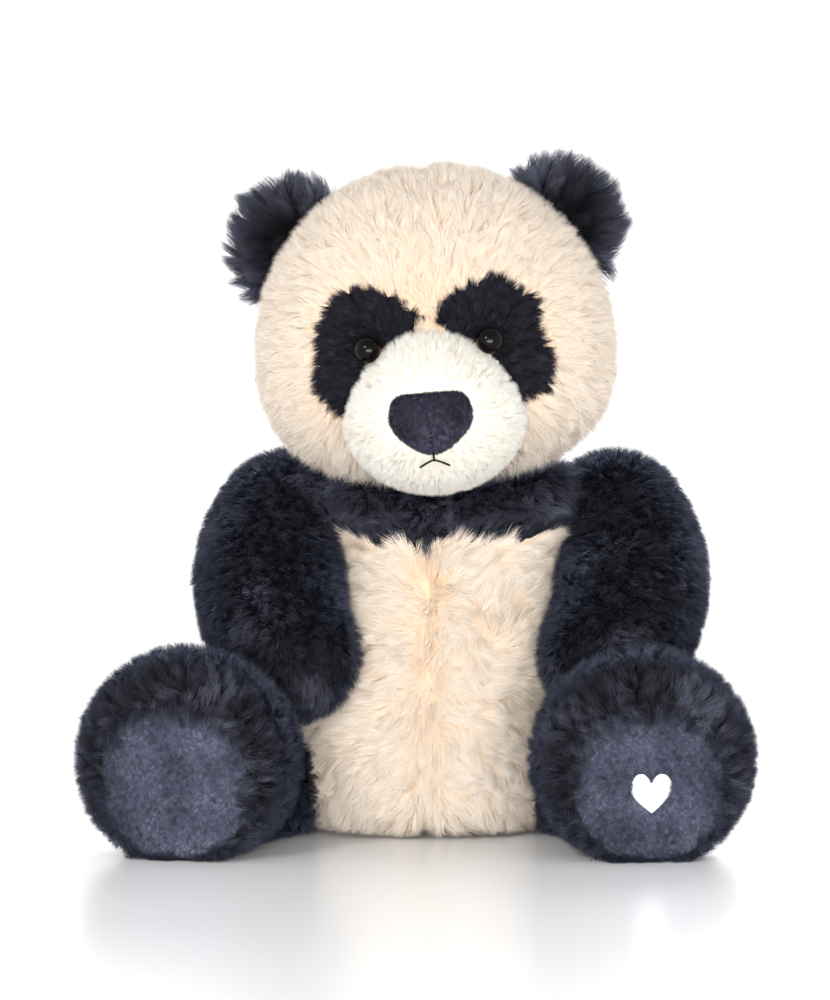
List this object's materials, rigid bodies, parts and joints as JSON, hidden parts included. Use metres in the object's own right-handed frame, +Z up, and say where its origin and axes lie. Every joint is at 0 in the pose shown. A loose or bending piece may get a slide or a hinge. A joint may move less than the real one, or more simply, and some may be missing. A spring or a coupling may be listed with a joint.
{
  "type": "plush panda",
  "caption": "Seated soft toy panda with long cream and black pile, velour soles, safety eyes and sewn head, arms and legs that move.",
  "frame": {"origin": "middle of the flat seat that the toy sits on", "axes": "+Z up, the toy faces -Y, +X is the toy's own left side"},
  "size_m": [0.2683, 0.19, 0.2797],
  "materials": {
    "cream_plush": "long soft pile, cream",
    "black_plush": "long soft pile, blue-black",
    "black_short_plush": "short pile, black",
    "ivory_plush": "short dense pile, ivory",
    "nose_velour": "very short velour, dark slate blue",
    "sole_velour": "very short velour, slate blue",
    "white_thread": "glossy satin stitch, white",
    "black_thread": "matte thread, black",
    "eye_plastic": "polished, almost black",
    "washer_plastic": "plain moulded",
    "fibrefill": "loose white fibre",
    "lining_cloth": "plain woven lining",
    "bean_pellet": "small smooth beads"
  },
  "bodies": {
    "torso": {"torso_stuffing": "fibrefill", "chest_yoke": "black_plush", "belly_left": "cream_plush", "belly_right": "cream_plush", "back_yoke": "black_plush", "back_left": "cream_plush", "back_right": "cream_plush", "seat_panel": "cream_plush", "pellet_bag": "lining_cloth", "pellets": "bean_pellet"},
    "neck": {"neck_collar": "black_plush", "neck_stuffing": "fibrefill"},
    "head": {"head_stuffing": "fibrefill", "head_side_left": "cream_plush", "head_side_right": "cream_plush", "head_back_left": "cream_plush", "head_back_right": "cream_plush", "eye_patch_left": "black_short_plush", "eye_patch_right": "black_short_plush", "eye_left": "eye_plastic", "eye_right": "eye_plastic", "eye_washer_left": "washer_plastic", "eye_washer_right": "washer_plastic", "muzzle_upper": "ivory_plush", "muzzle_chin": "ivory_plush", "muzzle_stuffing": "fibrefill", "nose": "nose_velour", "face_stitches": "black_thread", "ear_front_left": "black_plush", "ear_front_right": "black_plush", "ear_back_left": "black_plush", "ear_back_right": "black_plush"},
    "arm_left": {"arm_outer_left": "black_plush", "arm_inner_left": "black_plush", "arm_stuffing_left": "fibrefill"},
    "arm_right": {"arm_outer_right": "black_plush", "arm_inner_right": "black_plush", "arm_stuffing_right": "fibrefill"},
    "leg_left": {"leg_outer_left": "black_plush", "leg_inner_left": "black_plush", "sole_left": "sole_velour", "leg_stuffing_left": "fibrefill", "sole_emblem": "white_thread"},
    "leg_right": {"leg_outer_right": "black_plush", "leg_inner_right": "black_plush", "sole_right": "sole_velour", "leg_stuffing_right": "fibrefill"}
  },
  "joints": [
    {"name": "head_turn", "type": "hinge", "parent": "torso", "child": "neck", "pos_m": [0.01, 0, 0.149], "axis": [0, 0, 1], "range_deg": [-20, 20]},
    {"name": "head_nod", "type": "hinge", "parent": "neck", "child": "head", "pos_m": [0.01, 0, 0.124], "axis": [1, 0, 0], "range_deg": [-5, 5]},
    {"name": "arm_left_lift", "type": "hinge", "parent": "torso", "child": "arm_left", "pos_m": [0.081, 0.004, 0.1285], "axis": [0, -1, 0], "range_deg": [0, 70]},
    {"name": "arm_right_lift", "type": "hinge", "parent": "torso", "child": "arm_right", "pos_m": [-0.061, 0.004, 0.1285], "axis": [0, 1, 0], "range_deg": [0, 70]},
    {"name": "leg_left_swing", "type": "hinge", "parent": "torso", "child": "leg_left", "pos_m": [0.067, -0.036, 0.024], "axis": [0.9962, 0.0872, 0], "range_deg": [-5, 60]},
    {"name": "leg_right_swing", "type": "hinge", "parent": "torso", "child": "leg_right", "pos_m": [-0.067, -0.036, 0.024], "axis": [0.9744, -0.225, 0], "range_deg": [-5, 60]}
  ]
}
